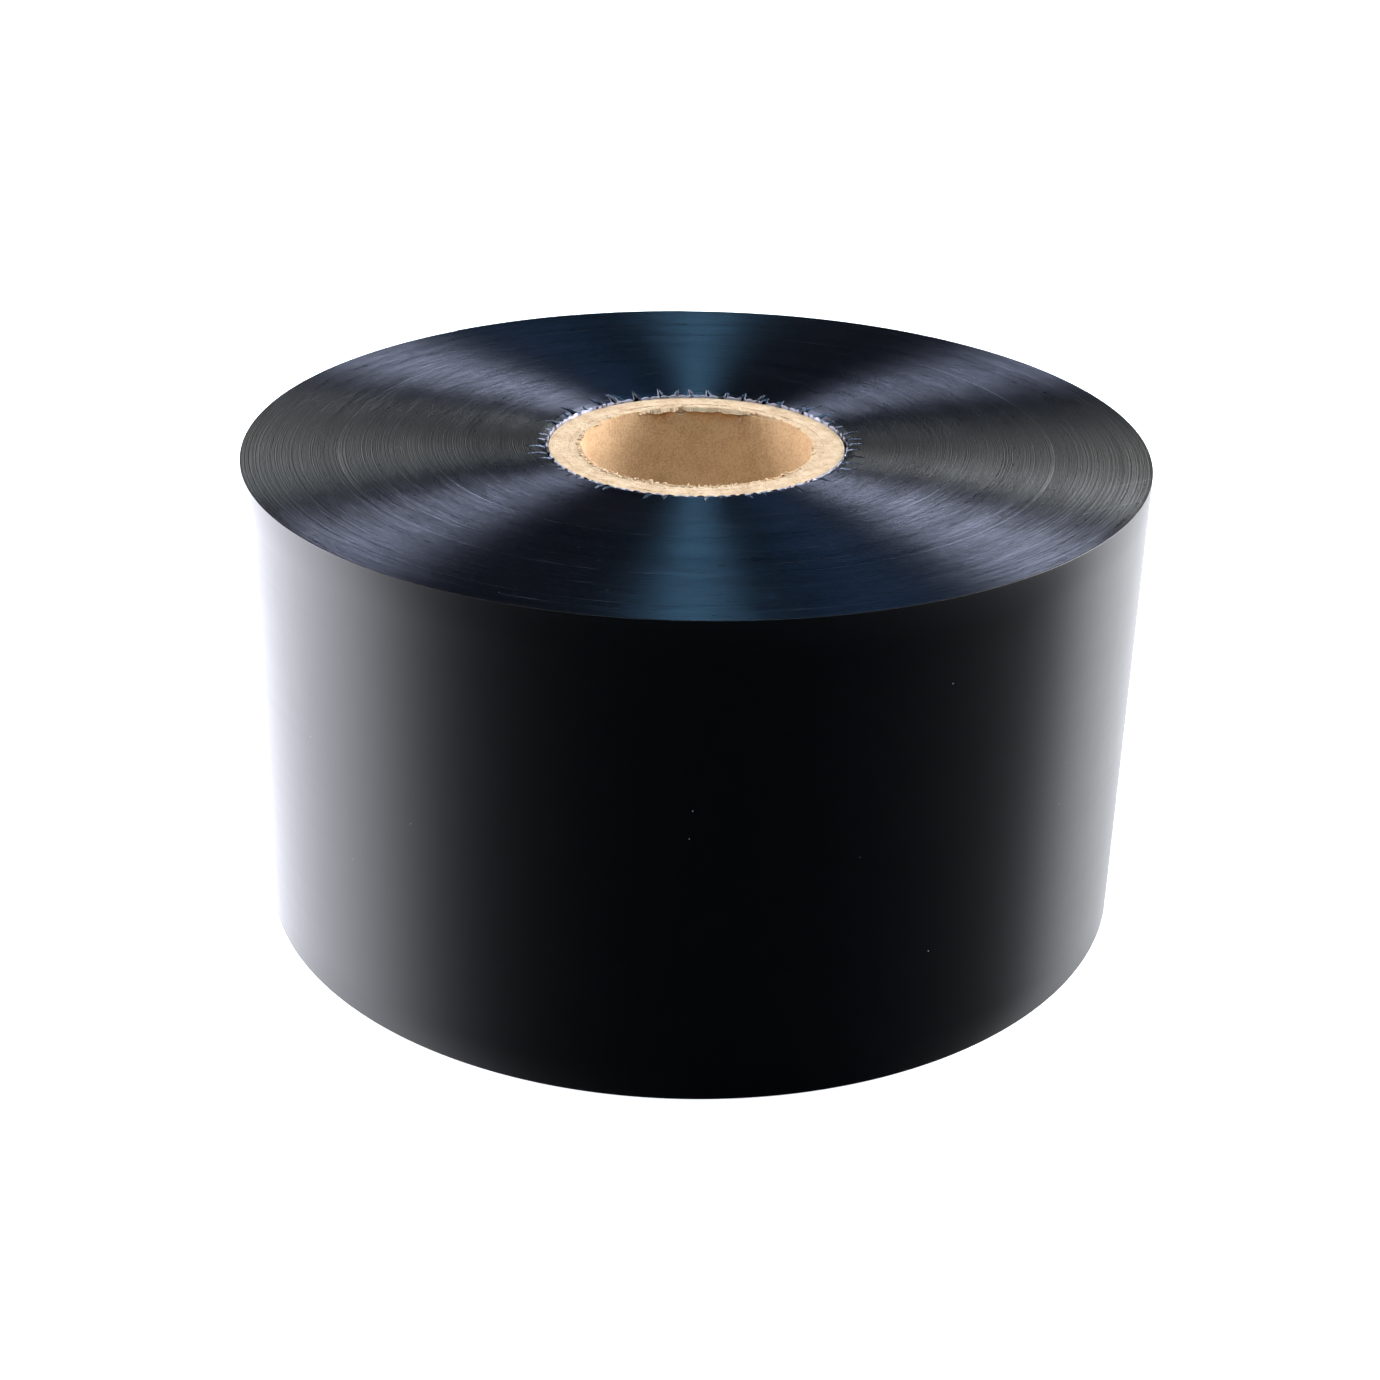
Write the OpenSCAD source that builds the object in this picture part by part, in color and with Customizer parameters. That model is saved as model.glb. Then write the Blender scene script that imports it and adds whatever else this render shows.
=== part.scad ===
// Roll of sign vinyl standing on end: a paperboard core, the wound web, and the web's free end
// held down by a strip of closing tape.
// Millimetres. The origin is the centre of the bottom end, and +Z runs up the axis of the core.

/* [Roll] */
// Outside diameter, measured over the free end of the web
roll_d = 292; // [220:1:340]
// Width of the web, which is the height of the roll standing on end
web_w = 155; // [60:1:610]

/* [Core] */
// Bore of the paperboard core
core_bore_d = 76.2; // [50:0.1:78]
// Wall thickness of the core
core_wall = 10; // [5:0.5:12]
// Thickness of the single paper ply that lines the bore, and of the one that covers the core
ply_t = 0.6; // [0.3:0.1:1]
// How far each end of the core lies inside the end of the web
core_recess = 2.5; // [1:0.5:5]

/* [Web] */
// Thickness of the vinyl film with its adhesive
film_t = 0.1; // [0.06:0.01:0.2]
// Thickness of the release liner
liner_t = 0.14; // [0.05:0.01:0.2]
// Radial depth of the creased first turns next to the core
first_turns_depth = 2.4; // [1:0.1:4]
// Radial depth of the last turns, which carry the step at the free end
last_turns_depth = 2; // [2:0.1:5]
// How far the turns wander sideways along the axis
winding_wander = 0.12; // [0:0.02:0.4]

/* [Free end] */
// Angle about the axis at which the free end leaves the roll
root_angle = 92; // [40:1:140]
// Arc of the roll that one hinged leaf of the free end covers
leaf_arc = 9; // [6:0.5:11]
// Clearance between a leaf and the turn it lies on
leaf_gap = 0.3; // [0.1:0.05:0.4]

/* [Tapes] */
// Thickness of the paper closing tape
tape_t = 0.12; // [0.08:0.01:0.2]
// Width of the closing tape, measured along the axis
tape_w = 25; // [12:1:48]
// Length of closing tape stuck to the free end
tape_stuck_len = 18; // [8:1:20]
// Length of closing tape stuck to the turn beyond the free end
tape_flap_len = 36; // [15:1:60]
// Thickness of the double-sided tape that fastens the web to the core
start_tape_t = 0.1; // [0.05:0.05:0.2]
// Width of that tape, measured round the core
start_tape_w = 24; // [10:1:50]

/* [Hidden] */
$fn = 180;

leaves = 4;
roll_r = roll_d / 2;
web_t = film_t + liner_t;
bore_r = core_bore_d / 2;
core_r = bore_r + core_wall;
wall_group_t = (core_wall - 2 * ply_t) / 3; // the wall is three groups of about five plies each
end_step = web_t + leaf_gap; // how far the outer turn falls from the root round to the free end
wound_r = roll_r - last_turns_depth;
free_angle = root_angle + leaves * leaf_arc;
hinge_slit = 0.1; // degrees left open at each hinge line
turn_gap = 0.02; // air under the last turns
stuck_arc = min(tape_stuck_len / roll_r * 180 / PI, leaf_arc - 1); // the tape stays on the last leaf

// The bands of turns, from the core outwards, as shares of the wound depth.
band_edges = [for (share = [0, 0.387, 0.686, 0.915, 1])
    core_r + first_turns_depth + share * (wound_r - core_r - first_turns_depth)];

function arc_degrees(length, radius) = length / radius * 180 / PI;

// Distance of the outer turn's surface from the axis, a degrees back from the root.
function outer_turn_r(a) = roll_r - end_step * min(1, a / (360 - leaves * leaf_arc));

// A tube round the axis.
module tube(inner_r, outer_r, bottom, height) {
    rotate_extrude()
        translate([inner_r, bottom])
            square([outer_r - inner_r, height]);
}

// A piece of tube wall between two angles.
module curved_strip(inner_r, thickness, bottom, height, from, to) {
    rotate([0, 0, from])
        rotate_extrude(angle = to - from)
            translate([inner_r, bottom])
                square([thickness, height]);
}

// One ply or group of plies of the core. ragged is how far its saw-cut ends fall short.
module core_plies(inner_r, thickness, ragged) {
    tube(inner_r, inner_r + thickness, core_recess + ragged, web_w - 2 * (core_recess + ragged));
}

module core_liner_ply() {
    color("peru") core_plies(bore_r, ply_t, 0);
}

module core_wall_plies_inner() {
    color("burlywood") core_plies(bore_r + ply_t, wall_group_t, 0.15);
}

module core_wall_plies_middle() {
    color("burlywood") core_plies(bore_r + ply_t + wall_group_t, wall_group_t, 0.05);
}

module core_wall_plies_outer() {
    color("burlywood") core_plies(bore_r + ply_t + 2 * wall_group_t, wall_group_t, 0.2);
}

module core_cover_ply() {
    color("tan") core_plies(core_r - ply_t, ply_t, 0);
}

// Double-sided tape along the core, under the start of the web.
module core_start_tape() {
    half = arc_degrees(start_tape_w, core_r) / 2;
    color("ivory")
        curved_strip(core_r, start_tape_t, core_recess + 2, web_w - 2 * core_recess - 4, -half, half);
}

// The first turns, pulled down on the core, with room for the start tape under them.
module first_turns() {
    color("black") difference() {
        tube(core_r, core_r + first_turns_depth, 0.5 * winding_wander, web_w);
        core_start_tape();
    }
}

// One band of turns. shift is its share of the sideways wander.
module wound_band(i, shift) {
    color([0.06, 0.07, 0.1])
        tube(band_edges[i], band_edges[i + 1], shift * winding_wander, web_w);
}

// The last turns. Their surface falls evenly from the root round to the free end, and makes one
// step at the root, where the free end leaves them.
module outer_turn() {
    color("black") difference() {
        translate([0, 0, 0.3 * winding_wander])
            linear_extrude(web_w)
                polygon([for (a = [0:2:360])
                    outer_turn_r(a) * [cos(root_angle - a), sin(root_angle - a)]]);
        cylinder(r = wound_r + turn_gap, h = 3 * web_w, center = true, $fn = 256);
    }
}

// One layer of leaf i of the free end. Leaves are counted from the root.
module tail_layer(i, inner_r, thickness) {
    from = root_angle + (i - 1) * leaf_arc;
    curved_strip(inner_r, thickness, 0.3 * winding_wander, web_w,
        from + hinge_slit / 2, from + leaf_arc - hinge_slit / 2);
}

module tail_film(i) {
    color("black") tail_layer(i, roll_r - film_t, film_t);
}

module tail_liner(i) {
    color("dimgray") tail_layer(i, roll_r - web_t, liner_t);
}

// The half of the closing tape that is stuck to the free end.
module closing_tape() {
    to = free_angle - hinge_slit / 2;
    color("antiquewhite")
        curved_strip(roll_r, tape_t, (web_w - tape_w) / 2, tape_w,
            to - stuck_arc, to);
}

// The half that holds the free end down, which peels off the roll.
module closing_tape_flap() {
    from = free_angle + hinge_slit / 2;
    color("antiquewhite")
        curved_strip(roll_r, tape_t, (web_w - tape_w) / 2, tape_w,
            from, from + arc_degrees(tape_flap_len, roll_r));
}

core_liner_ply();
core_wall_plies_inner();
core_wall_plies_middle();
core_wall_plies_outer();
core_cover_ply();
core_start_tape();
first_turns();
wound_band(0, 1);  // wound_band_inner
wound_band(1, 0);  // wound_band_middle
wound_band(2, 0.7);  // wound_band_outer
wound_band(3, 0.3);  // wound_band_rim
outer_turn();
for (i = [1:leaves]) {
    tail_film(i);
    tail_liner(i);
}
closing_tape();
closing_tape_flap();
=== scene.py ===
import functools
import math
import random

import bmesh
import bpy
from mathutils import Matrix, Vector, noise


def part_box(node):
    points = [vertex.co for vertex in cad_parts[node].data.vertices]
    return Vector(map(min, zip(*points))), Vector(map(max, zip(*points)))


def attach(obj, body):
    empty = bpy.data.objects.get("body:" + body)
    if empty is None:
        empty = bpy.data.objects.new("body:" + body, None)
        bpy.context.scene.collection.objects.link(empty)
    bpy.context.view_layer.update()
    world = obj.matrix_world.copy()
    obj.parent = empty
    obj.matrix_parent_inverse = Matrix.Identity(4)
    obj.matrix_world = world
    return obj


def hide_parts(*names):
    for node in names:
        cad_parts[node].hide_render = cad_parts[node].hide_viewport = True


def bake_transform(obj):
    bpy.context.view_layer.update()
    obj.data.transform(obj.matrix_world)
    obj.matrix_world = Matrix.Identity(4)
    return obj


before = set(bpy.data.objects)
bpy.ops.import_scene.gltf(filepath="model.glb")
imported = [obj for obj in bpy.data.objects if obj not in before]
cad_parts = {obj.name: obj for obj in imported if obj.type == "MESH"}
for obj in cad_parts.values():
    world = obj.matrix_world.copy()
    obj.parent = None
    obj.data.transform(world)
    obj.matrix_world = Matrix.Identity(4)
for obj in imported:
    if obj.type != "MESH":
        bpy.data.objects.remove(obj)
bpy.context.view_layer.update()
print("frame loaded")

mm = 0.001
rollR = 146 * mm  # over the free end of the web
rootAngle = math.radians(92)  # where the free end leaves the roll
leafArc = math.radians(9)
freeAngle = rootAngle + 4 * leafArc


def smoothStep(a, b, x):
    t = min(1, max(0, (x - a) / (b - a)))
    return t * t * (3 - 2 * t)


def around(angle, target):
    # signed angle from target, between -pi and pi
    return (angle - target + math.pi) % (2 * math.pi) - math.pi


def wave(a, b=0.0, c=0.0):
    return noise.noise(Vector((a, b, c)))


def finishMesh(name, bm, material, sharp=38):
    # one object at the origin, smooth except along edges sharper than the given angle
    mesh = bpy.data.meshes.new(name)
    bm.to_mesh(mesh)
    bm.free()
    mesh.shade_smooth()
    mesh.set_sharp_from_angle(angle=math.radians(sharp))
    mesh.materials.append(material)
    obj = bpy.data.objects.new(name, mesh)
    bpy.context.scene.collection.objects.link(obj)
    return obj


def spunRing(profile, steps):
    # a closed profile of (radius, height) turned once round the axis
    bm = bmesh.new()
    verts = [bm.verts.new((r, 0, z)) for r, z in profile]
    edges = [bm.edges.new((verts[i - 1], verts[i])) for i in range(len(verts))]
    bmesh.ops.spin(bm, geom=verts + edges, cent=(0, 0, 0), axis=(0, 0, 1),
                   angle=2 * math.pi, steps=steps, use_merge=True)
    bmesh.ops.recalc_face_normals(bm, faces=bm.faces)
    return bm


def spunArc(profile, start, end, steps):
    # a closed profile swept over part of a turn, with both ends capped
    bm = bmesh.new()
    turn = Matrix.Rotation(start, 3, "Z")
    verts = [bm.verts.new(turn @ Vector((r, 0, z))) for r, z in profile]
    cap = bm.faces.new(verts)
    bmesh.ops.spin(bm, geom=[cap], cent=(0, 0, 0), axis=(0, 0, 1),
                   angle=end - start, steps=steps, use_duplicate=False)
    first = [f for f in bm.faces
             if all(abs(around(math.atan2(v.co.y, v.co.x), start)) < 1e-5 for v in f.verts)]
    if not first:
        bmesh.ops.holes_fill(bm, edges=[e for e in bm.edges if e.is_boundary], sides=0)
    bmesh.ops.recalc_face_normals(bm, faces=bm.faces)
    return bm


def reshape(bm, rule):
    # rule takes and gives back (radius, angle, height)
    for v in bm.verts:
        r, a, z = rule(math.hypot(v.co.x, v.co.y), math.atan2(v.co.y, v.co.x), v.co.z)
        v.co = (r * math.cos(a), r * math.sin(a), z)


def spread(a, b, count):
    return [a + (b - a) * i / count for i in range(count + 1)]


def turnSteps(count):
    return count


class Wire:
    # a node's output that can stand in a sum
    def __init__(self, tree, socket):
        self.tree = tree
        self.socket = socket

    def maths(self, operation, left, right=None):
        node = self.tree.nodes.new("ShaderNodeMath")
        node.operation = operation
        for place, item in zip(node.inputs, (left, right)):
            if isinstance(item, Wire):
                self.tree.links.new(item.socket, place)
            elif item is not None:
                place.default_value = item
        return Wire(self.tree, node.outputs[0])

    def __add__(self, other):
        return self.maths("ADD", self, other)

    def __radd__(self, other):
        return self.maths("ADD", other, self)

    def __sub__(self, other):
        return self.maths("SUBTRACT", self, other)

    def __rsub__(self, other):
        return self.maths("SUBTRACT", other, self)

    def __mul__(self, other):
        return self.maths("MULTIPLY", self, other)

    def __rmul__(self, other):
        return self.maths("MULTIPLY", other, self)

    def __truediv__(self, other):
        return self.maths("DIVIDE", self, other)

    def __pow__(self, other):
        return self.maths("POWER", self, other)

    def __lt__(self, other):
        return self.maths("LESS_THAN", self, other)

    def __gt__(self, other):
        return self.maths("GREATER_THAN", self, other)


class Graph:
    # a node tree with short ways to add to it
    def __init__(self, tree):
        self.tree = tree

    def node(self, kind, settings=None, inputs=None, output=0):
        node = self.tree.nodes.new(kind)
        for key, value in (settings or {}).items():
            if key == "stops":
                ramp = node.color_ramp
                while len(ramp.elements) < len(value):
                    ramp.elements.new(1)
                for element, (place, colour) in zip(ramp.elements, value):
                    element.position = place
                    element.color = colour if len(colour) == 4 else (*colour, 1)
            else:
                setattr(node, key, value)
        for key, value in (inputs or {}).items():
            if isinstance(value, Wire):
                self.tree.links.new(value.socket, node.inputs[key])
            else:
                node.inputs[key].default_value = value
        return Wire(self.tree, node.outputs[output])

    def place(self, output=3):
        # object coordinates as the vector and x, y, z wires
        where = self.node("ShaderNodeTexCoord", output=output)
        split = self.tree.nodes.new("ShaderNodeSeparateXYZ")
        self.tree.links.new(where.socket, split.inputs[0])
        return where, *[Wire(self.tree, out) for out in split.outputs]

    def vector(self, x, y, z):
        return self.node("ShaderNodeCombineXYZ", inputs={0: x, 1: y, 2: z})

    def grain(self, vector, scale=1.0, detail=2.0, roughness=0.5):
        return self.node("ShaderNodeTexNoise", inputs={
            "Vector": vector, "Scale": scale, "Detail": detail, "Roughness": roughness})

    def band(self, value, low, high, to0=0.0, to1=1.0):
        return self.node("ShaderNodeMapRange", {"interpolation_type": "SMOOTHSTEP"},
                         {0: value, 1: low, 2: high, 3: to0, 4: to1})

    def blend(self, share, a, b):
        return self.node("ShaderNodeMix", {"data_type": "RGBA"}, {0: share, 6: a, 7: b}, output=2)

    def bump(self, height, depth, strength=1.0, under=None):
        inputs = {"Height": height, "Distance": depth, "Strength": strength}
        if under is not None:
            inputs["Normal"] = under
        return self.node("ShaderNodeBump", inputs=inputs)

    def absolute(self, value):
        return self.node("ShaderNodeMath", {"operation": "ABSOLUTE"}, {0: value})


class Finish(Graph):
    # a material made round one Principled surface
    def __init__(self, name, constants):
        self.material = bpy.data.materials.new(name)
        self.material.use_nodes = True
        super().__init__(self.material.node_tree)
        self.surface = self.tree.nodes["Principled BSDF"]
        for key, value in constants.items():
            self.surface.inputs[key].default_value = value

    def wear(self, **inputs):
        # links values to the surface's sockets
        for key, value in inputs.items():
            self.tree.links.new(value.socket, self.surface.inputs[key.replace("_", " ")])
        return self.material


edgeLook = {
    "colour": (0.0002, 0.0004, 0.0012, 1),
    "paleTurn": (0.007, 0.008, 0.012, 1),
    "markAndGlint": (0.055, 0.057, 0.066, 1),  # scratches and dust, and a painted highlight along the corners of the ledges
    "lip": (0.36, 0.33, 0.38, 1),  # the first turn's bare edge
    "roughness": 0.34,
    "roughnessSpread": 0.12,
    "creaseShade": 0.3,  # how much rougher the bottom of a crease is
    "relief": 0.0004,
    "ledges": [70.2, 78.5, 86.8, 98.4, 107.9, 114.7, 124.9, 136.2, 140.1],  # mm from the axis
    "scratches": [(128.3, -40.3, 141.8, -31.7), (114.8, -63.7, 135.0, -51.1)],  # from x, y to x, y in mm
}


def makeEdgeFinish():
    # the edges of several hundred turns of film, a fine concentric grain that shines across it
    f = Finish("woundEdge", {"Base Color": edgeLook["colour"], "Specular IOR Level": 0.9, "IOR": 1.6,
                             "Specular Tint": (0.66, 0.75, 1, 1),
                             "Anisotropic": 1.0, "Anisotropic Rotation": 0.25})
    where, x, y, z = f.place()
    r = (x * x + y * y) ** 0.5
    cx, cy = x / r, y / r
    fine = f.grain(f.vector(r * 2600, cx * 0.8, cy * 0.8), detail=2)
    turns = f.grain(f.vector(r * 900, cx * 0.8, cy * 0.8), detail=2)
    broad = f.grain(f.vector(r * 150, cx * 1.4, cy * 1.4), detail=2)
    arcs = f.grain(f.vector(r * 1100, cx * 9, cy * 9), detail=4, roughness=0.65)
    brushed = f.grain(f.vector(r * 3400, cx * 34, cy * 34), detail=2, roughness=0.6)
    pale = f.band(arcs, 0.56, 0.76, 0, 0.7) + f.band(brushed, 0.58, 0.8, 0, 0.6)
    dust = f.node("ShaderNodeTexVoronoi", {"feature": "F1"}, {"Vector": where, "Scale": 190})
    marksAndGlints = f.band(dust, 0.03, 0.06, 0.8, 0)
    for radius in edgeLook["ledges"]:
        # painted highlight: a pale line along the corner of each ledge
        ledgeGlint = f.band(f.absolute(r - radius * mm), 0.00005, 0.0002, 0.5, 0)
        marksAndGlints = marksAndGlints + ledgeGlint * f.band(arcs, 0.46, 0.66)
    for ax, ay, bx, by in edgeLook["scratches"]:
        length = math.hypot(bx - ax, by - ay)
        ux, uy = (bx - ax) / length, (by - ay) / length
        along = (x - ax * mm) * ux + (y - ay * mm) * uy
        across = f.absolute((x - ax * mm) * -uy + (y - ay * mm) * ux)
        scratch = f.band(across, 0.00008, 0.0003, 1, 0) * (along > 0) * (along < length * mm)
        marksAndGlints = marksAndGlints + scratch * 1.4
    colour = f.blend(f.node("ShaderNodeClamp", inputs={0: pale}), edgeLook["colour"], edgeLook["paleTurn"])
    colour = f.blend(f.node("ShaderNodeClamp", inputs={0: marksAndGlints}), colour, edgeLook["markAndGlint"])
    dashes = f.band(f.grain(f.vector(cx * 15, cy * 15, z * 20), detail=1), 0.4, 0.5)
    colour = f.blend(f.band(r, 0.0488, 0.0492, 1, 0) * dashes, colour, edgeLook["lip"])
    rough = edgeLook["roughness"] + (broad - 0.5) * edgeLook["roughnessSpread"]
    rough = rough + (turns - 0.5) * 0.08 - (arcs - 0.5) * 0.26 - (brushed - 0.5) * 0.22
    crease = f.node("ShaderNodeAttribute", {"attribute_name": "crease"}, output=2)
    rough = rough + crease * edgeLook["creaseShade"]
    height = turns * 0.14 + fine * 0.4 + brushed * 0.2
    dark = f.band(crease, 0.12, 0.55)  # painted shade: a black metal base takes the shine out of the creases, darkening them
    return f.wear(Base_Color=colour, Metallic=dark, Roughness=rough,
                  Normal=f.bump(height, edgeLook["relief"]))


faceLook = {
    "colour": (0.0003, 0.0005, 0.0009, 1),
    "dust": (0.16, 0.17, 0.19, 1),
    "roughness": 0.37,
}


def makeFaceFinish():
    # the printed side of the film: a smooth satin black with a little dust on it
    f = Finish("vinylFace", {"Base Color": faceLook["colour"], "Specular IOR Level": 0.5, "IOR": 1.47})
    where, x, y, z = f.place()
    r = (x * x + y * y) ** 0.5
    cloud = f.grain(where, 9, 2)
    draw = f.grain(f.vector(z * 900, x / r * 0.7, y / r * 0.7), detail=2)
    orange = f.grain(where, 420, 2)
    dust = f.node("ShaderNodeTexVoronoi", {"feature": "F1"}, {"Vector": where, "Scale": 62})
    specks = f.band(dust, 0.008, 0.017, 1, 0)
    hairs = f.grain(f.vector(x * 260, y * 260, z * 60), detail=1)
    colour = f.blend(specks * 0.7, faceLook["colour"], faceLook["dust"])
    rough = faceLook["roughness"] + (cloud - 0.5) * 0.05 + (draw - 0.5) * 0.03 + (hairs - 0.5) * 0.02
    normal = f.bump(orange * 0.5 + draw * 0.5 + specks, 0.000012)
    return f.wear(Base_Color=colour, Roughness=rough, Normal=normal)


linerLook = {"colour": (0.075, 0.084, 0.094, 1), "roughness": 0.33}


def makeLinerFinish():
    # the silicone side of the release liner
    f = Finish("releaseLiner", {"Base Color": linerLook["colour"], "Specular IOR Level": 0.45, "IOR": 1.45})
    where, x, y, z = f.place()
    cloud = f.grain(where, 34, 3)
    fine = f.grain(f.vector(x * 300, y * 300, z * 900), detail=2)
    colour = f.blend(f.band(cloud, 0.35, 0.7), linerLook["colour"], (0.095, 0.105, 0.116, 1))
    return f.wear(Base_Color=colour, Roughness=linerLook["roughness"] + (cloud - 0.5) * 0.1,
                  Normal=f.bump(fine, 0.00002))


boardLook = {
    "pale": (0.62, 0.43, 0.272, 1),
    "tan": (0.455, 0.288, 0.16, 1),
    "fleck": (0.3, 0.17, 0.085, 1),
    "plyPitch": 0.62,  # mm
    "roughness": 0.88,
}


def makeBoardFinish():
    # saw-cut recycled board: pale pulp with flecks, and a darker glue line at every ply
    f = Finish("coreBoard", {"Base Color": boardLook["pale"], "Specular IOR Level": 0.25})
    where, x, y, z = f.place()
    r = (x * x + y * y) ** 0.5
    cx, cy = x / r, y / r
    pulp = f.grain(where, 1500, 3, 0.65)
    mottle = f.grain(where, 260, 3, 0.6)
    wander = f.grain(f.vector(cx * 6, cy * 6, r * 40), detail=2)
    phase = (r * (1 / (boardLook["plyPitch"] * mm)) + wander * 0.7)
    saw = f.node("ShaderNodeMath", {"operation": "PINGPONG"}, {0: phase, 1: 0.5})
    glue = f.band(saw, 0.0, 0.13, 1, 0) * f.band(f.grain(f.vector(cx * 9, cy * 9, r * 900)), 0.36, 0.6)
    fibre = f.grain(f.vector(r * 2400, cx * 60, cy * 60), detail=3, roughness=0.6)
    flecks = f.band(f.grain(where, 900, 1), 0.69, 0.76)
    colour = f.blend(f.band(mottle * 0.6 + fibre * 0.4, 0.36, 0.66), boardLook["pale"], boardLook["tan"])
    colour = f.blend(glue * 0.38, colour, boardLook["fleck"])
    colour = f.blend(flecks * 0.5, colour, boardLook["fleck"])
    height = pulp * 0.5 + fibre * 0.5 - glue * 0.5
    return f.wear(Base_Color=colour, Roughness=boardLook["roughness"] + (mottle - 0.5) * 0.12,
                  Normal=f.bump(height, 0.00022))


kraftLook = {
    "light": (0.64, 0.425, 0.232, 1),
    "dark": (0.47, 0.288, 0.14, 1),
    "fleck": (0.235, 0.135, 0.062, 1),
    "roughness": 0.82,
    "helixRise": 0.062,  # m of height for one radian
}


def makeKraftFinish():
    # brown liner paper, mottled, with the long spiral joint of the winding
    f = Finish("kraftLiner", {"Base Color": kraftLook["light"], "Specular IOR Level": 0.3})
    where, x, y, z = f.place()
    angle = f.node("ShaderNodeMath", {"operation": "ARCTAN2"}, {0: y, 1: x})
    cloud = f.grain(where, 120, 4, 0.62)
    grain = f.grain(where, 1500, 3, 0.65)
    fibre = f.grain(f.vector(x * 1900, y * 1900, z * 520), detail=3, roughness=0.65)
    slope = z + angle * kraftLook["helixRise"]
    lap = f.node("ShaderNodeMath", {"operation": "PINGPONG"},
                 {0: slope - 0.021, 1: math.pi * kraftLook["helixRise"]})
    seam = f.band(lap, 0.0001, 0.0006, 1, 0)
    ruled = f.node("ShaderNodeMath", {"operation": "PINGPONG"}, {0: slope, 1: 0.0031})
    lines = f.band(ruled, 0, 0.0004, 1, 0) * f.band(cloud, 0.5, 0.66)
    colour = f.blend(f.band(cloud * 0.35 + grain * 0.65, 0.4, 0.62), kraftLook["light"], kraftLook["dark"])
    colour = f.blend(f.band(fibre, 0.6, 0.74) * 0.55, colour, kraftLook["fleck"])
    colour = f.blend(lines * 0.3, colour, (0.68, 0.5, 0.33, 1))
    colour = f.blend(seam * 0.5, colour, kraftLook["fleck"])
    height = grain * 0.4 + fibre * 0.6 + lines * 0.3 - seam * 1.2
    return f.wear(Base_Color=colour, Roughness=kraftLook["roughness"] + (grain - 0.5) * 0.14,
                  Normal=f.bump(height, 0.00016))


tapeLook = {"colour": (0.42, 0.36, 0.24, 1), "shade": (0.33, 0.275, 0.17, 1), "roughness": 0.72}


def makeTapeFinish():
    # creped paper tape: fine creases across its length
    f = Finish("closingTape", {"Base Color": tapeLook["colour"], "Specular IOR Level": 0.35})
    where, x, y, z = f.place()
    angle = f.node("ShaderNodeMath", {"operation": "ARCTAN2"}, {0: y, 1: x})
    crepe = f.grain(f.vector(angle * 250, z * 110, 0.0), detail=4, roughness=0.62)
    blotch = f.grain(where, 160, 3)
    colour = f.blend(f.band(crepe * 0.6 + blotch * 0.4, 0.35, 0.65), tapeLook["shade"], tapeLook["colour"])
    return f.wear(Base_Color=colour, Roughness=tapeLook["roughness"] + (blotch - 0.5) * 0.12,
                  Normal=f.bump(crepe, 0.00012))


def makeStartTapeFinish():
    f = Finish("startTape", {"Base Color": (0.78, 0.75, 0.66, 1), "Specular IOR Level": 0.4})
    where, x, y, z = f.place()
    mottle = f.grain(where, 240, 3)
    colour = f.blend(f.band(mottle, 0.35, 0.7), (0.78, 0.75, 0.66, 1), (0.7, 0.66, 0.55, 1))
    return f.wear(Base_Color=colour, Roughness=0.45 + (mottle - 0.5) * 0.1, Normal=f.bump(mottle, 0.00003))


woundEdge = makeEdgeFinish()
vinylFace = makeFaceFinish()
releaseLiner = makeLinerFinish()
coreBoard = makeBoardFinish()
kraftLiner = makeKraftFinish()
creped = makeTapeFinish()
startTape = makeStartTapeFinish()
print("materials made")


core = {
    "boreR": 38.1 * mm,
    "ply": 0.6 * mm,
    "group": 2.9333 * mm,
    "outerR": 48.1 * mm,
    "bottom": 2.5 * mm,
    "top": 152.5 * mm,
    "steps": 720,
}


def tubeProfile(inner, outer, bottom, top, across):
    # closed outline of a tube wall, finely divided near its ends and across them
    depths = [0, 0.25, 0.6, 1.1, 1.8, 3.0, 5.0]
    up = [bottom + d * mm for d in depths] + [(bottom + top) / 2] + [top - d * mm for d in reversed(depths)]
    lower = [(r, bottom) for r in spread(inner, outer, across)[1:-1]]
    upper = [(r, top) for r in reversed(spread(inner, outer, across)[1:-1])]
    return [(inner, z) for z in reversed(up)] + lower + [(outer, z) for z in up] + upper


def frayed(depth, seed, inner, outer, lean=0.0):
    # a saw-cut end: pulp stands up and falls away in small clumps, and the inner edge leans into the bore
    middle = (core["top"] + core["bottom"]) / 2

    def rule(r, a, z):
        side = 1 if z > middle else -1
        end = core["top"] if side > 0 else core["bottom"]
        near = smoothStep(2.2 * mm, 0, abs(end - z))
        x, y = math.cos(a) * r * 1000, math.sin(a) * r * 1000
        clump = wave(x * 0.9, y * 0.9, seed) + 0.6 * wave(x * 2.3, y * 2.3, seed + 7)
        slow = wave(x * 0.09, y * 0.09, seed + 3)
        share = (r - inner) / (outer - inner)
        z += side * near * (depth * (0.75 * clump + 0.5 * slow) - depth * 0.5)
        r += near * depth * 0.35 * wave(x * 1.7, y * 1.7, seed + 11)
        r -= near * lean * (1 - share) * max(0, 0.25 + wave(x * 0.55, y * 0.55, seed + side))
        return r, a, z
    return rule


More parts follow.
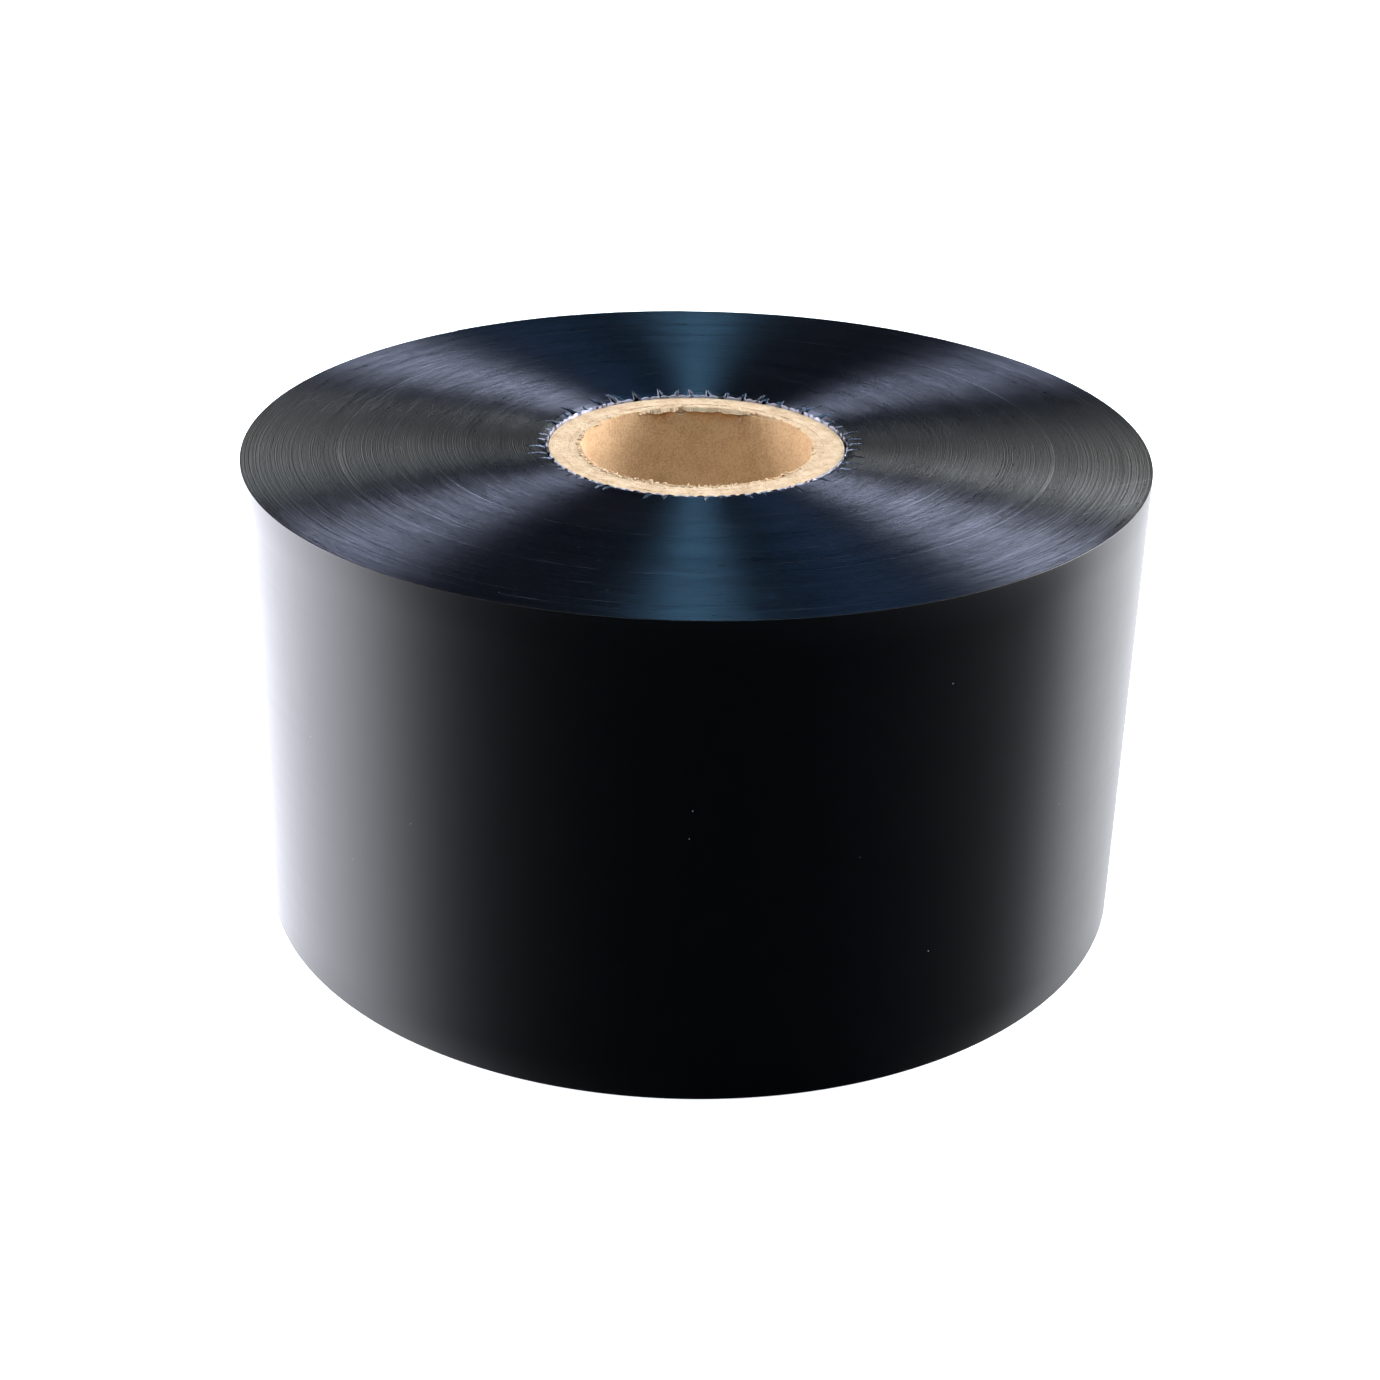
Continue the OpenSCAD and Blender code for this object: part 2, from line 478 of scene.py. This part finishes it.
def tornLiner(r, a, z):
    # the liner's upper edge is torn at the back and frayed elsewhere
    r, a, z = frayed(0.2 * mm, 2, core["boreR"], core["boreR"] + core["ply"], 0.25 * mm)(r, a, z)
    if z > 140 * mm:
        near = smoothStep(143 * mm, 152 * mm, z)
        deg = math.degrees(a) % 360
        torn = smoothStep(44, 50, deg) * smoothStep(122, 116, deg)
        notch = math.exp(-((deg - 98.5) / 2.6) ** 2) + 0.8 * math.exp(-((deg - 67) / 1.5) ** 2)
        ragged = 0.7 * wave(deg * 0.4, 4) + 0.35 * wave(deg * 1.3, 14)
        z -= near * torn * (1.1 + 1.5 * notch + ragged) * mm
        r -= near * torn * (0.25 + 0.3 * wave(deg * 0.3, 24)) * mm
    return r, a, z


def tube(name, inner, outer, node, material, rule, across=4):
    bm = spunRing(tubeProfile(inner, outer, core["bottom"], core["top"], across), turnSteps(core["steps"]))
    reshape(bm, rule)
    piece = finishMesh(name, bm, material, sharp=60)
    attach(piece, "roll")
    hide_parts(node)
    return piece


innerR = core["boreR"] + core["ply"]
tube("boreLiner", core["boreR"], innerR - 0.01 * mm, "core_liner_ply", kraftLiner,
     tornLiner, 2)
groups = (("coreInnerPlies", "core_wall_plies_inner", 0.5 * mm, 0.5 * mm),
          ("coreMiddlePlies", "core_wall_plies_middle", 0.2 * mm, 0),
          ("coreOuterPlies", "core_wall_plies_outer", 0.26 * mm, 0))
for number, (name, node, depth, lean) in enumerate(groups):
    a = innerR + number * core["group"]
    b = a + core["group"] - 0.01 * mm
    tube(name, a, b, node, coreBoard, frayed(depth, 20 + number * 9, a, b, lean), 7)
a = core["outerR"] - core["ply"]
tube("coreCover", a, core["outerR"] - 0.01 * mm, "core_cover_ply", coreBoard,
     frayed(0.16 * mm, 61, a, core["outerR"]), 2)


def bentStrip(name, fromDeg, toDeg, rows, columns, rule, thickness, material):
    # a strip of paper: a grid laid along the angle, placed by a rule and then given its thickness
    bm = bmesh.new()
    bmesh.ops.create_grid(bm, x_segments=columns, y_segments=rows, size=0.5)
    for v in bm.verts:
        deg = fromDeg + (toDeg - fromDeg) * (v.co.x + 0.5)
        r, z = rule(deg, v.co.y + 0.5)
        v.co = (r * math.cos(math.radians(deg)), r * math.sin(math.radians(deg)), z)
    bmesh.ops.recalc_face_normals(bm, faces=bm.faces)
    bmesh.ops.solidify(bm, geom=bm.faces[:], thickness=thickness)
    bmesh.ops.recalc_face_normals(bm, faces=bm.faces)
    return finishMesh(name, bm, material, sharp=50)


def tornLip(deg, s):
    # a delaminated ply that bends over the bore at the back, with a gash and a split in it
    ends = smoothStep(61, 68, deg) * smoothStep(122, 112, deg)
    gash = math.exp(-((deg - 98.5) / 2.2) ** 2)
    reach = (0.9 + 1.3 * ends + 0.9 * wave(deg * 0.17, 1) + 0.5 * wave(deg * 0.6, 31)) * (1 - 0.85 * gash)
    edge = 0.5 * wave(deg * 1.7, 8) * s
    r = core["boreR"] + (0.9 - s * (reach + edge)) * mm
    curl = 0.8 + 0.9 * wave(deg * 0.21, 41)
    z = core["top"] + (-0.3 + 0.6 * math.sin(math.pi * min(1, s * 1.15)) * ends - curl * s * s) * mm
    return r, z + 0.22 * wave(deg * 0.5, s * 2, 5) * mm


def splitFlap(deg, s):
    # the small tongue of paper that hangs into the bore beside the split
    t = (deg - 65.5) / 3.0
    width = math.sin(math.pi * min(1, max(0, t)))
    r = core["boreR"] + (0.3 - 1.2 * math.sin(s * 1.7)) * mm
    z = core["top"] + (-0.1 - (1.2 + 3.6 * width) * s) * mm
    return r, z


lip = bentStrip("tornCorePly", 61.5, 121.5, 8, 180, tornLip, 0.3 * mm, coreBoard)
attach(lip, "roll")
flap = bentStrip("tornCoreTongue", 65.5, 68.5, 8, 12, splitFlap, 0.25 * mm, coreBoard)
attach(flap, "roll")

tufts = {"count": 260, "least": 0.3 * mm, "most": 1.1 * mm, "seed": 5}


def addTuft(bm, deg, radius, height, size, rand):
    # one clump of pulp: a small squashed ball pulled out along one direction
    made = bmesh.ops.create_icosphere(bm, subdivisions=1, radius=1)["verts"]
    a = math.radians(deg)
    turn = Matrix.Rotation(a + rand.uniform(-0.9, 0.9), 4, "Z")
    turn = turn @ Matrix.Rotation(rand.uniform(-0.5, 0.5), 4, "Y")
    scale = Matrix.Diagonal((size, size * rand.uniform(0.25, 0.6), size * rand.uniform(0.2, 0.45), 1))
    home = Matrix.Translation((radius * math.cos(a), radius * math.sin(a), height))
    for v in made:
        v.co *= 1 + rand.uniform(-0.3, 0.3)
    bmesh.ops.transform(bm, matrix=home @ turn @ scale, verts=made)


def makeTufts():
    rand = random.Random(tufts["seed"])
    bm = bmesh.new()
    for i in range(tufts["count"]):
        deg = rand.gauss(232, 48) if i % 5 else rand.uniform(0, 360)
        if 60 < deg % 360 < 122:
            deg += 130
        size = rand.uniform(tufts["least"], tufts["most"]) * (1.5 if i % 23 == 0 else 1)
        top = i % 4 != 3  # three in four are at the upper end
        if top:
            height = core["top"] - rand.uniform(-0.15, 0.3) * mm
        else:
            height = core["bottom"] + rand.uniform(-0.1, 0.3) * mm
        addTuft(bm, deg, core["boreR"] + rand.uniform(-0.5, 0.7) * mm, height, size, rand)
    return finishMesh("coreFibres", bm, coreBoard, sharp=70)


fibres = makeTufts()
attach(fibres, "roll")
print("core made")


web = {
    "innerR": 48.3 * mm,  # the film's inner edge, at the core
    "pleats": 54,
    "dish": 1.3,  # mm that the end falls towards the core
    "dip": 0.65,  # mm more that the first turns are drawn down beside it
    "dent": 1.1,  # mm, the deepest creases
    "creaseReach": 9,  # mm from the core, past which there are none
    "scallops": 92,
    "gapAt": 4,  # degrees, where the first turn stands off the core
    "ledges": [(70.2, 0.03), (78.5, -0.02), (86.8, 0.05), (98.4, -0.02), (107.9, 0.02),
               (114.7, -0.14), (124.9, 0.03), (136.2, 0.05), (140.1, -0.03)],  # (mm, mm step in height)
}


@functools.lru_cache(maxsize=None)
def ringHeight(x):
    # the part of the end's height that is the same all round, at x mm from the axis
    h = 0.008 * wave(x * 0.75, 3) + 0.003 * wave(x * 1.9, 9) + 0.05 * wave(x * 0.16, 21)
    for place, step in web["ledges"]:
        h += step * smoothStep(place - 0.25, place + 0.25, x) * smoothStep(place + 9, place + 1, x)
    return h - web["dish"] * smoothStep(88, 46, x)


def endHeight(r, a):
    # how far the web's edge stands proud or falls short at this radius, in metres
    x = round(r * 1000, 4)
    return (ringHeight(x) + 0.012 * wave(x * 0.5, math.cos(a) * 1.5, math.sin(a) * 1.5) - 0.06) * mm


def makePleats():
    # angle, length, depth, half width and lean of each crease
    rand = random.Random(11)
    found = []
    for i in range(web["pleats"]):
        deg = (i + rand.uniform(-0.34, 0.34)) * 360 / web["pleats"]
        length = rand.uniform(4.6, 9.0) * (0.5 if rand.random() < 0.2 else 1)
        found.append((math.radians(deg), length, rand.uniform(0.6, 1.0), rand.uniform(0.75, 1.4),
                      rand.uniform(-0.1, 0.1)))
    return found


pleats = makePleats()


def creaseAt(deep, a):
    # V-shaped dents that open towards the core, each between two small raised folds: height in mm, dent
    fall = web["dip"] * smoothStep(3.4, 0.4, deep)
    spot = (a % (2 * math.pi)) / (2 * math.pi) * web["pleats"]
    dent = fold = 0.0
    for i in range(int(spot) - 1, int(spot) + 3):
        angle, length, depth, wide, lean = pleats[i % web["pleats"]]
        u = deep / length
        if u >= 1:
            continue
        t = abs(around(a, angle + lean * u * 0.3)) * (48.3 + deep) / (wide * (1 - u) + 0.12)
        dent = max(dent, depth * (1 - u) ** 0.7 * max(0, 1 - t))
        fold = max(fold, depth * (1 - u) ** 0.5 * max(0, 1 - abs(t - 1.25) / 0.45))
    return -fall - web["dent"] * dent + 0.1 * fold, dent


def endRing(name, node, inner, outer, steps, pitch, rule=None, sharp=50):
    # a ring of turns with its true, uneven ends at top and bottom
    low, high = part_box(node)[0].z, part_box(node)[1].z
    rs = spread(inner, outer, max(2, round((outer - inner) / pitch)))
    under = rs if rule else spread(inner, outer, max(2, round((outer - inner) / pitch / 1.7)))
    middle = (low + high) / 2
    profile = [(r, high) for r in rs] + [(outer, middle)]
    profile += [(r, low) for r in reversed(under)] + [(inner, middle)]
    bm = spunRing(profile, turnSteps(steps))
    if rule:
        # dent depth per point, read by the edge finish for roughness and for painted shade in the creases
        shade = bm.verts.layers.float.new("crease")
        for v in bm.verts:
            deep = (math.hypot(v.co.x, v.co.y) - web["innerR"]) * 1000
            a = math.atan2(v.co.y, v.co.x)
            v[shade] = creaseAt(deep, a if v.co.z > middle else -a + 2.1)[1]

    def shape(r, a, z):
        if abs(z - high) < 1e-6 or abs(z - low) < 1e-6:
            side = 1 if z > middle else -1
            spin = a if side > 0 else -a + 2.1
            z += side * endHeight(r, spin)
            if rule:
                r, a, z = rule(r, a, z, side, spin)
        return r, a, z
    reshape(bm, shape)
    piece = finishMesh(name, bm, woundEdge, sharp)
    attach(piece, "roll")
    return piece


def pleated(r, a, z, side, spin):
    # creases next to the core, and the thin scalloped lip of the first turn
    deep = (r - web["innerR"]) * 1000
    if deep > web["creaseReach"]:
        return r, a, z
    if deep < 0.5:
        spot = spin / (2 * math.pi) * web["scallops"]
        scallop = abs(math.sin(math.pi * spot + 1.5 * wave(spot * 0.35, 2)))
        z += side * (0.5 * scallop - 0.15 - 0.5 * abs(deep - 0.22) - web["dip"]) * mm
        gap = math.exp(-(around(spin, math.radians(web["gapAt"])) / 0.13) ** 2)
        return r + (0.16 * scallop + 0.7 * gap) * mm, a, z
    z += side * (creaseAt(deep, spin)[0] - 0.3 * smoothStep(1.0, 0.7, deep)) * mm
    return r, a, z


bands = {"firstTurnsSteps": 1200, "pleatSteps": 1200, "bandSteps": 320}
edges = [58.6, 86.6845, 114.641, 136.0525, 145.5]  # mm; the rim's turns run out under the last one
first = endRing("firstTurns", "first_turns", web["innerR"], 50.5 * mm, bands["firstTurnsSteps"],
                0.22 * mm, pleated, 32)
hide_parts("first_turns")
endRing("creasedTurns", "wound_band_inner", 50.5 * mm, edges[0] * mm, bands["pleatSteps"],
        0.36 * mm, pleated, 32)
nodes = ("wound_band_inner", "wound_band_middle", "wound_band_outer", "wound_band_rim")
names = ("turnsInner", "turnsMiddle", "turnsOuter", "turnsRim")
for name, node, a, b in zip(names, nodes, edges, edges[1:]):
    ring = endRing(name, node, a * mm, b * mm, bands["bandSteps"], 0.42 * mm)
    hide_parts(node)
print("wound web made")


outer = {
    "innerR": 145.51 * mm,
    "fall": 0.26 * mm,  # one web thickness, from the root round to the free end
    "round": 0.14 * mm,
    "steps": 720,
}


def outerRadius(a):
    # the last turn is a true spiral that ends in a step at the root of the free end
    back = (rootAngle - a) % (2 * math.pi)
    return rollR - outer["fall"] * back / (2 * math.pi)


def makeOuterTurn():
    low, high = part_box("outer_turn")[0].z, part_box("outer_turn")[1].z
    b = outer["round"]
    walls = [low + b + (high - low - 2 * b) * t for t in spread(0, 1, 14)]
    rim = rollR
    top = [(outer["innerR"], high), ((outer["innerR"] + rim) / 2, high), (rim - b, high),
           (rim - 0.3 * b, high - 0.3 * b)]
    bottom = [(rim - 0.3 * b, low + 0.3 * b), (rim - b, low), ((outer["innerR"] + rim) / 2, low),
              (outer["innerR"], low)]
    count = turnSteps(outer["steps"])
    bm = spunRing(top + [(rim, z) for z in reversed(walls)] + bottom, count)
    grid = math.radians(360 / count)

    def rule(r, a, z):
        turn = outerRadius(a - 1e-5)
        off = around(a, rootAngle)
        if abs(off) < grid * 0.5:
            a, turn = rootAngle - 0.0004, rollR  # the last column before the step
        elif 0 < off < grid * 1.5:
            a, turn = rootAngle + 0.0004, rollR - outer["fall"]
        share = (r - outer["innerR"]) / (rim - outer["innerR"])
        r = outer["innerR"] + share * (turn - outer["innerR"])
        slow = 0.02 * wave(math.cos(a) * 1.4, math.sin(a) * 1.4, z * 14) * mm
        r += slow * share
        if z > high - 0.5 * mm:
            z += (0.05 * wave(math.cos(a) * 3, math.sin(a) * 3, 2) - 0.05) * mm
        return r, a, z
    reshape(bm, rule)
    piece = finishMesh("outerTurn", bm, vinylFace, 50)
    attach(piece, "roll")
    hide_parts("outer_turn")


makeOuterTurn()
print("outer turn made")


tail = {"film": 0.1 * mm, "liner": 0.135 * mm, "stepDeg": 0.5, "rows": 10}


def stripProfile(inner, outer, low, high, rows):
    zs = spread(low, high, rows)
    return [(outer, z) for z in zs] + [(inner, z) for z in reversed(zs)]


def tailLayer(name, number, inner, outer, start, end, material, node):
    # one stretch of the free end, swept as an arc round the axis; the last stretch is attached to the end
    # leaf
    low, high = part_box("tail_film_1")[0].z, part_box("tail_film_1")[1].z
    steps = max(2, round(math.degrees(end - start) / tail["stepDeg"]))
    bm = spunArc(stripProfile(inner, outer, low, high, tail["rows"]), start, end, steps)
    piece = finishMesh(name, bm, material, 50)
    if number == 0:
        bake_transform(piece)
    elif number < 4:
        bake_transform(piece)
    else:
        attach(piece, "tail_leaf_4")
    if node:
        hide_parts(node)


cuts = [rootAngle] + [rootAngle + (i + 0.5) * leafArc for i in range(4)] + [freeAngle - 0.0006]
for i in range(5):
    tailLayer(f"freeFilm{i + 1}", i, rollR - tail["film"], rollR, cuts[i], cuts[i + 1],
              vinylFace, f"tail_film_{i + 1}" if i < 4 else None)
    tailLayer(f"freeLiner{i + 1}", i, rollR - tail["film"] - tail["liner"], rollR - tail["film"] - 0.001 * mm,
              cuts[i], cuts[i + 1] - (0.002 if i == 4 else 0), releaseLiner,
              f"tail_liner_{i + 1}" if i < 4 else None)
print("free end made")


tape = {"thickness": 0.12 * mm, "width": 25 * mm, "stuck": 18 * mm, "flap": 36 * mm, "tab": 6 * mm,
        "teeth": 0.8 * mm}


def tapeStrip(name, start, end, floor, torn, tab=False):
    # a strip of creped tape whose outer end is torn off in small teeth
    rows = 30
    low = (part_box("closing_tape")[0].z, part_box("closing_tape")[1].z)
    steps = max(3, round(math.degrees(end - start) / 0.2))
    bm = spunArc(stripProfile(rollR, rollR + tape["thickness"], low[0], low[1], rows), start, end, steps)
    way = 1 if end > start else -1

    def rule(r, a, z):
        layer = r - rollR
        base = floor(a)
        toEnd = (around(torn, a) * way) * rollR if torn is not None else 1
        if torn is not None and abs(toEnd) < 0.05 * mm:
            k = (z - low[0]) / tape["width"] * 15
            a -= way * (abs((k % 1) - 0.5) * 2 * tape["teeth"] + 0.2 * mm * (1 + wave(k * 1.3, 3))) / rollR
        thick = 1 + (1.0 if tab and abs(toEnd) < tape["tab"] else 0)
        crease = 0.018 * mm * wave(a * 340, z * 260, 4)
        return base + layer * thick + (crease if layer > 0.05 * mm else 0), a, z
    reshape(bm, rule)
    return finishMesh(name, bm, creped, 60)


def onFilm(a):
    return rollR + 0.004 * mm


def overStep(a):
    past = around(a, freeAngle) * rollR
    lowest = rollR - outer["fall"] * (2 * math.pi - 4 * leafArc) / (2 * math.pi)
    return rollR + 0.004 * mm - (rollR - lowest - 0.035 * mm) * smoothStep(0.0, 3.2 * mm, past)


tapeEnd = freeAngle + tape["flap"] / rollR
stuck = tapeStrip("closingTape", freeAngle, freeAngle - tape["stuck"] / rollR, onFilm,
                  freeAngle - tape["stuck"] / rollR)
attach(stuck, "tail_leaf_4")
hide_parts("closing_tape")
flapStrip = tapeStrip("closingTapeFlap", freeAngle, tapeEnd, overStep, tapeEnd, tab=True)
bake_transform(flapStrip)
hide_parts("closing_tape_flap")
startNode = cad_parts["core_start_tape"]
startNode.data.materials.clear()
startNode.data.materials.append(startTape)
print("tape made")


studio = {  # brightness of each soft light as red, green, blue
    "floorGlow": 0.75,
    "leftBox": (17.5, 17.6, 19.5),
    "rightBox": (24.5, 24.5, 26.5),
    "leftPanel": (3.7, 3.75, 4.1),
    "rightPanel": (2.05, 2.1, 2.2),
    "strip": (90.0, 200.0, 260.0),
    "overhead": (0.8, 1.5, 2.4),
    "front": (1.3, 1.2, 1.1),
    "backRight": (10.0, 10.2, 9.3),
    "backMiddle": (2.05, 2.0, 1.8),
    "backLeft": (2.6, 3.0, 2.9),
    "dim": (0.002, 0.004, 0.008),
}


def makeFloor():
    f = Finish("paleFloor", {"Base Color": (0.9, 0.9, 0.9, 1), "Roughness": 0.9,
                             "Emission Strength": studio["floorGlow"], "Specular IOR Level": 0.1})
    where, x, y, z = f.place()
    tint = f.band(f.grain(where, 2.0, 1), 0.2, 0.8, 0.0, 0.05)
    f.wear(Emission_Color=f.blend(tint, (1, 1, 1, 1), (0.97, 0.98, 1, 1)))
    bm = bmesh.new()
    bmesh.ops.create_grid(bm, x_segments=8, y_segments=8, size=40)
    floor = finishMesh("floor", bm, f.material)
    floor.location.z = -0.0005
    floor.visible_glossy = False
    floor.visible_shadow = False


def makeAir():
    # soft light by direction: turn is degrees round from the viewer, z is the sine of the height
    world = bpy.data.worlds.new("studioAir")
    world.use_nodes = True
    f = Graph(world.node_tree)
    where, x, y, z = f.place(0)
    turn = f.node("ShaderNodeMath", {"operation": "ARCTAN2"}, {0: x, 1: y * -1}) * (180 / math.pi)
    high = f.band(z, -0.02, 0.02)
    low = 1 - high
    rise = f.band(z, -0.68, -0.36, 0.5, 1.4) * low
    boxHeight = f.band(z, 0.62, 0.8, 1, 0) * high
    backHeight = f.band(z, 0.1, 0.2) * f.band(z, 0.3, 0.42, 1, 0)
    parts = {
        "leftBox": f.band(turn, -128, -106) * f.band(turn, -104, -84, 1, 0) * boxHeight,
        "rightBox": f.band(turn, 84, 103) * f.band(turn, 106, 130, 1, 0) * boxHeight,
        "leftPanel": f.band(turn, -100, -62, 1, 0) * rise,
        "rightPanel": f.band(turn, 99, 115) * rise,
        "strip": (f.band(f.absolute(x), 0.003, 0.012, 1, 0) * f.band(y, -0.65, -0.55)
                  * f.band(y, -0.25, -0.1, 1, 0)),
        "overhead": f.band(f.absolute(x - 0.42), 0.08, 0.2, 1, 0) * f.band(f.absolute(y), 0.2, 0.4, 1, 0),
        "front": (f.band(f.absolute(turn + 20), 30, 60, 1, 0) * f.band(z, 0.4, 0.5)
                  * f.band(z, 0.68, 0.78, 1, 0)),
        "backRight": f.band(f.absolute(turn - 140), 4, 12, 1, 0) * backHeight,
        "backMiddle": f.band(f.absolute(f.absolute(turn) - 156), 4, 12, 1, 0) * backHeight,
        "backLeft": f.band(f.absolute(turn + 140), 4, 12, 1, 0) * backHeight,
    }
    light = f.vector(*studio["dim"])
    for name, share in parts.items():
        red, green, blue = studio[name]
        if name in ("strip", "overhead"):
            share = share * high
        light = f.node("ShaderNodeVectorMath", {"operation": "MULTIPLY_ADD"},
                       {0: f.vector(share, share, share), 1: (red, green, blue), 2: light})
    dim = f.node("ShaderNodeBackground", inputs={"Color": light, "Strength": 1.0})
    bright = f.node("ShaderNodeBackground", inputs={"Color": (1, 1, 1, 1), "Strength": 1.0})
    seen = f.node("ShaderNodeLightPath")
    either = f.node("ShaderNodeMixShader", inputs={0: seen, 1: dim, 2: bright})
    f.tree.links.new(either.socket, f.tree.nodes["World Output"].inputs["Surface"])
    return world


makeFloor()
world = makeAir()
bpy.context.scene.world = world
bpy.context.scene.view_settings.view_transform = "Standard"
bpy.context.scene.view_settings.look = "None"

view = {"place": (0, -0.6756, 0.3917), "down": 25.89, "lean": 0.977, "lens": 57.13, "shift": -0.0017}
lens = bpy.data.cameras.new("viewer")
lens.sensor_width = 36
lens.lens = view["lens"]
lens.shift_x = view["shift"]
lens.clip_start = 0.01
lens.clip_end = 200
camera = bpy.data.objects.new("viewer", lens)
camera.matrix_world = (Matrix.Translation(view["place"])
                       @ Matrix.Rotation(math.radians(90 - view["down"]), 4, "X")
                       @ Matrix.Rotation(math.radians(view["lean"]), 4, "Z"))
bpy.context.scene.collection.objects.link(camera)
bpy.context.scene.camera = camera
print("studio made")
